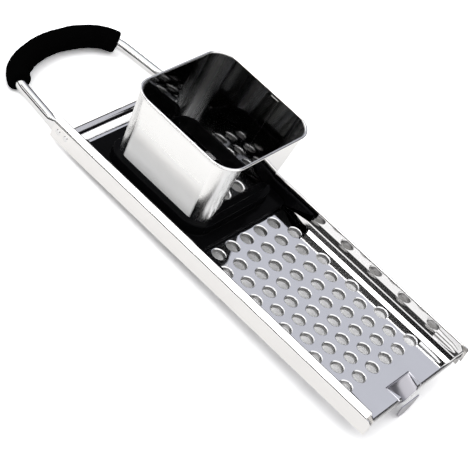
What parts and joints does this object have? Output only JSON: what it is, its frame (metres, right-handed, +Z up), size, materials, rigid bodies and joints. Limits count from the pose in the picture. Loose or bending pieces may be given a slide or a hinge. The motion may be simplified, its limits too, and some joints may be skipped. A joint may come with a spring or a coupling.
{
  "type": "spaetzle maker",
  "caption": "Perforated steel plate with side rails, a sliding steel hopper on a black carriage, a foam-gripped tube handle and a pot hook.",
  "frame": {"origin": "under the middle of the footprint, at the level of the hook's tip", "axes": "+X across the plate to the user's right when the handle points away, +Y along the plate towards the handle, +Z up"},
  "size_m": [0.1058, 0.3116, 0.0763],
  "materials": {
    "perforated_plate": "polished",
    "left_rail": "polished",
    "right_rail": "polished",
    "pot_hook": "polished",
    "crossbar": "polished",
    "handle_tube": "polished",
    "foam_grip": "matt",
    "handle_rivets": "polished",
    "carriage_base": "gloss",
    "left_glide": "gloss",
    "right_glide": "gloss",
    "hopper_body": "polished",
    "hopper_rim": "polished"
  },
  "bodies": {
    "frame": {"perforated_plate": "perforated_plate", "left_rail": "left_rail", "right_rail": "right_rail", "pot_hook": "pot_hook", "crossbar": "crossbar", "handle_tube": "handle_tube", "foam_grip": "foam_grip", "handle_rivets": "handle_rivets"},
    "slider": {"carriage_base": "carriage_base", "left_glide": "left_glide", "right_glide": "right_glide", "hopper_body": "hopper_body", "hopper_rim": "hopper_rim"}
  },
  "joints": [
    {"name": "hopper_slide", "type": "slide", "parent": "frame", "child": "slider", "axis": [0, -1, 0], "range_m": [-0.005, 0.115]}
  ]
}
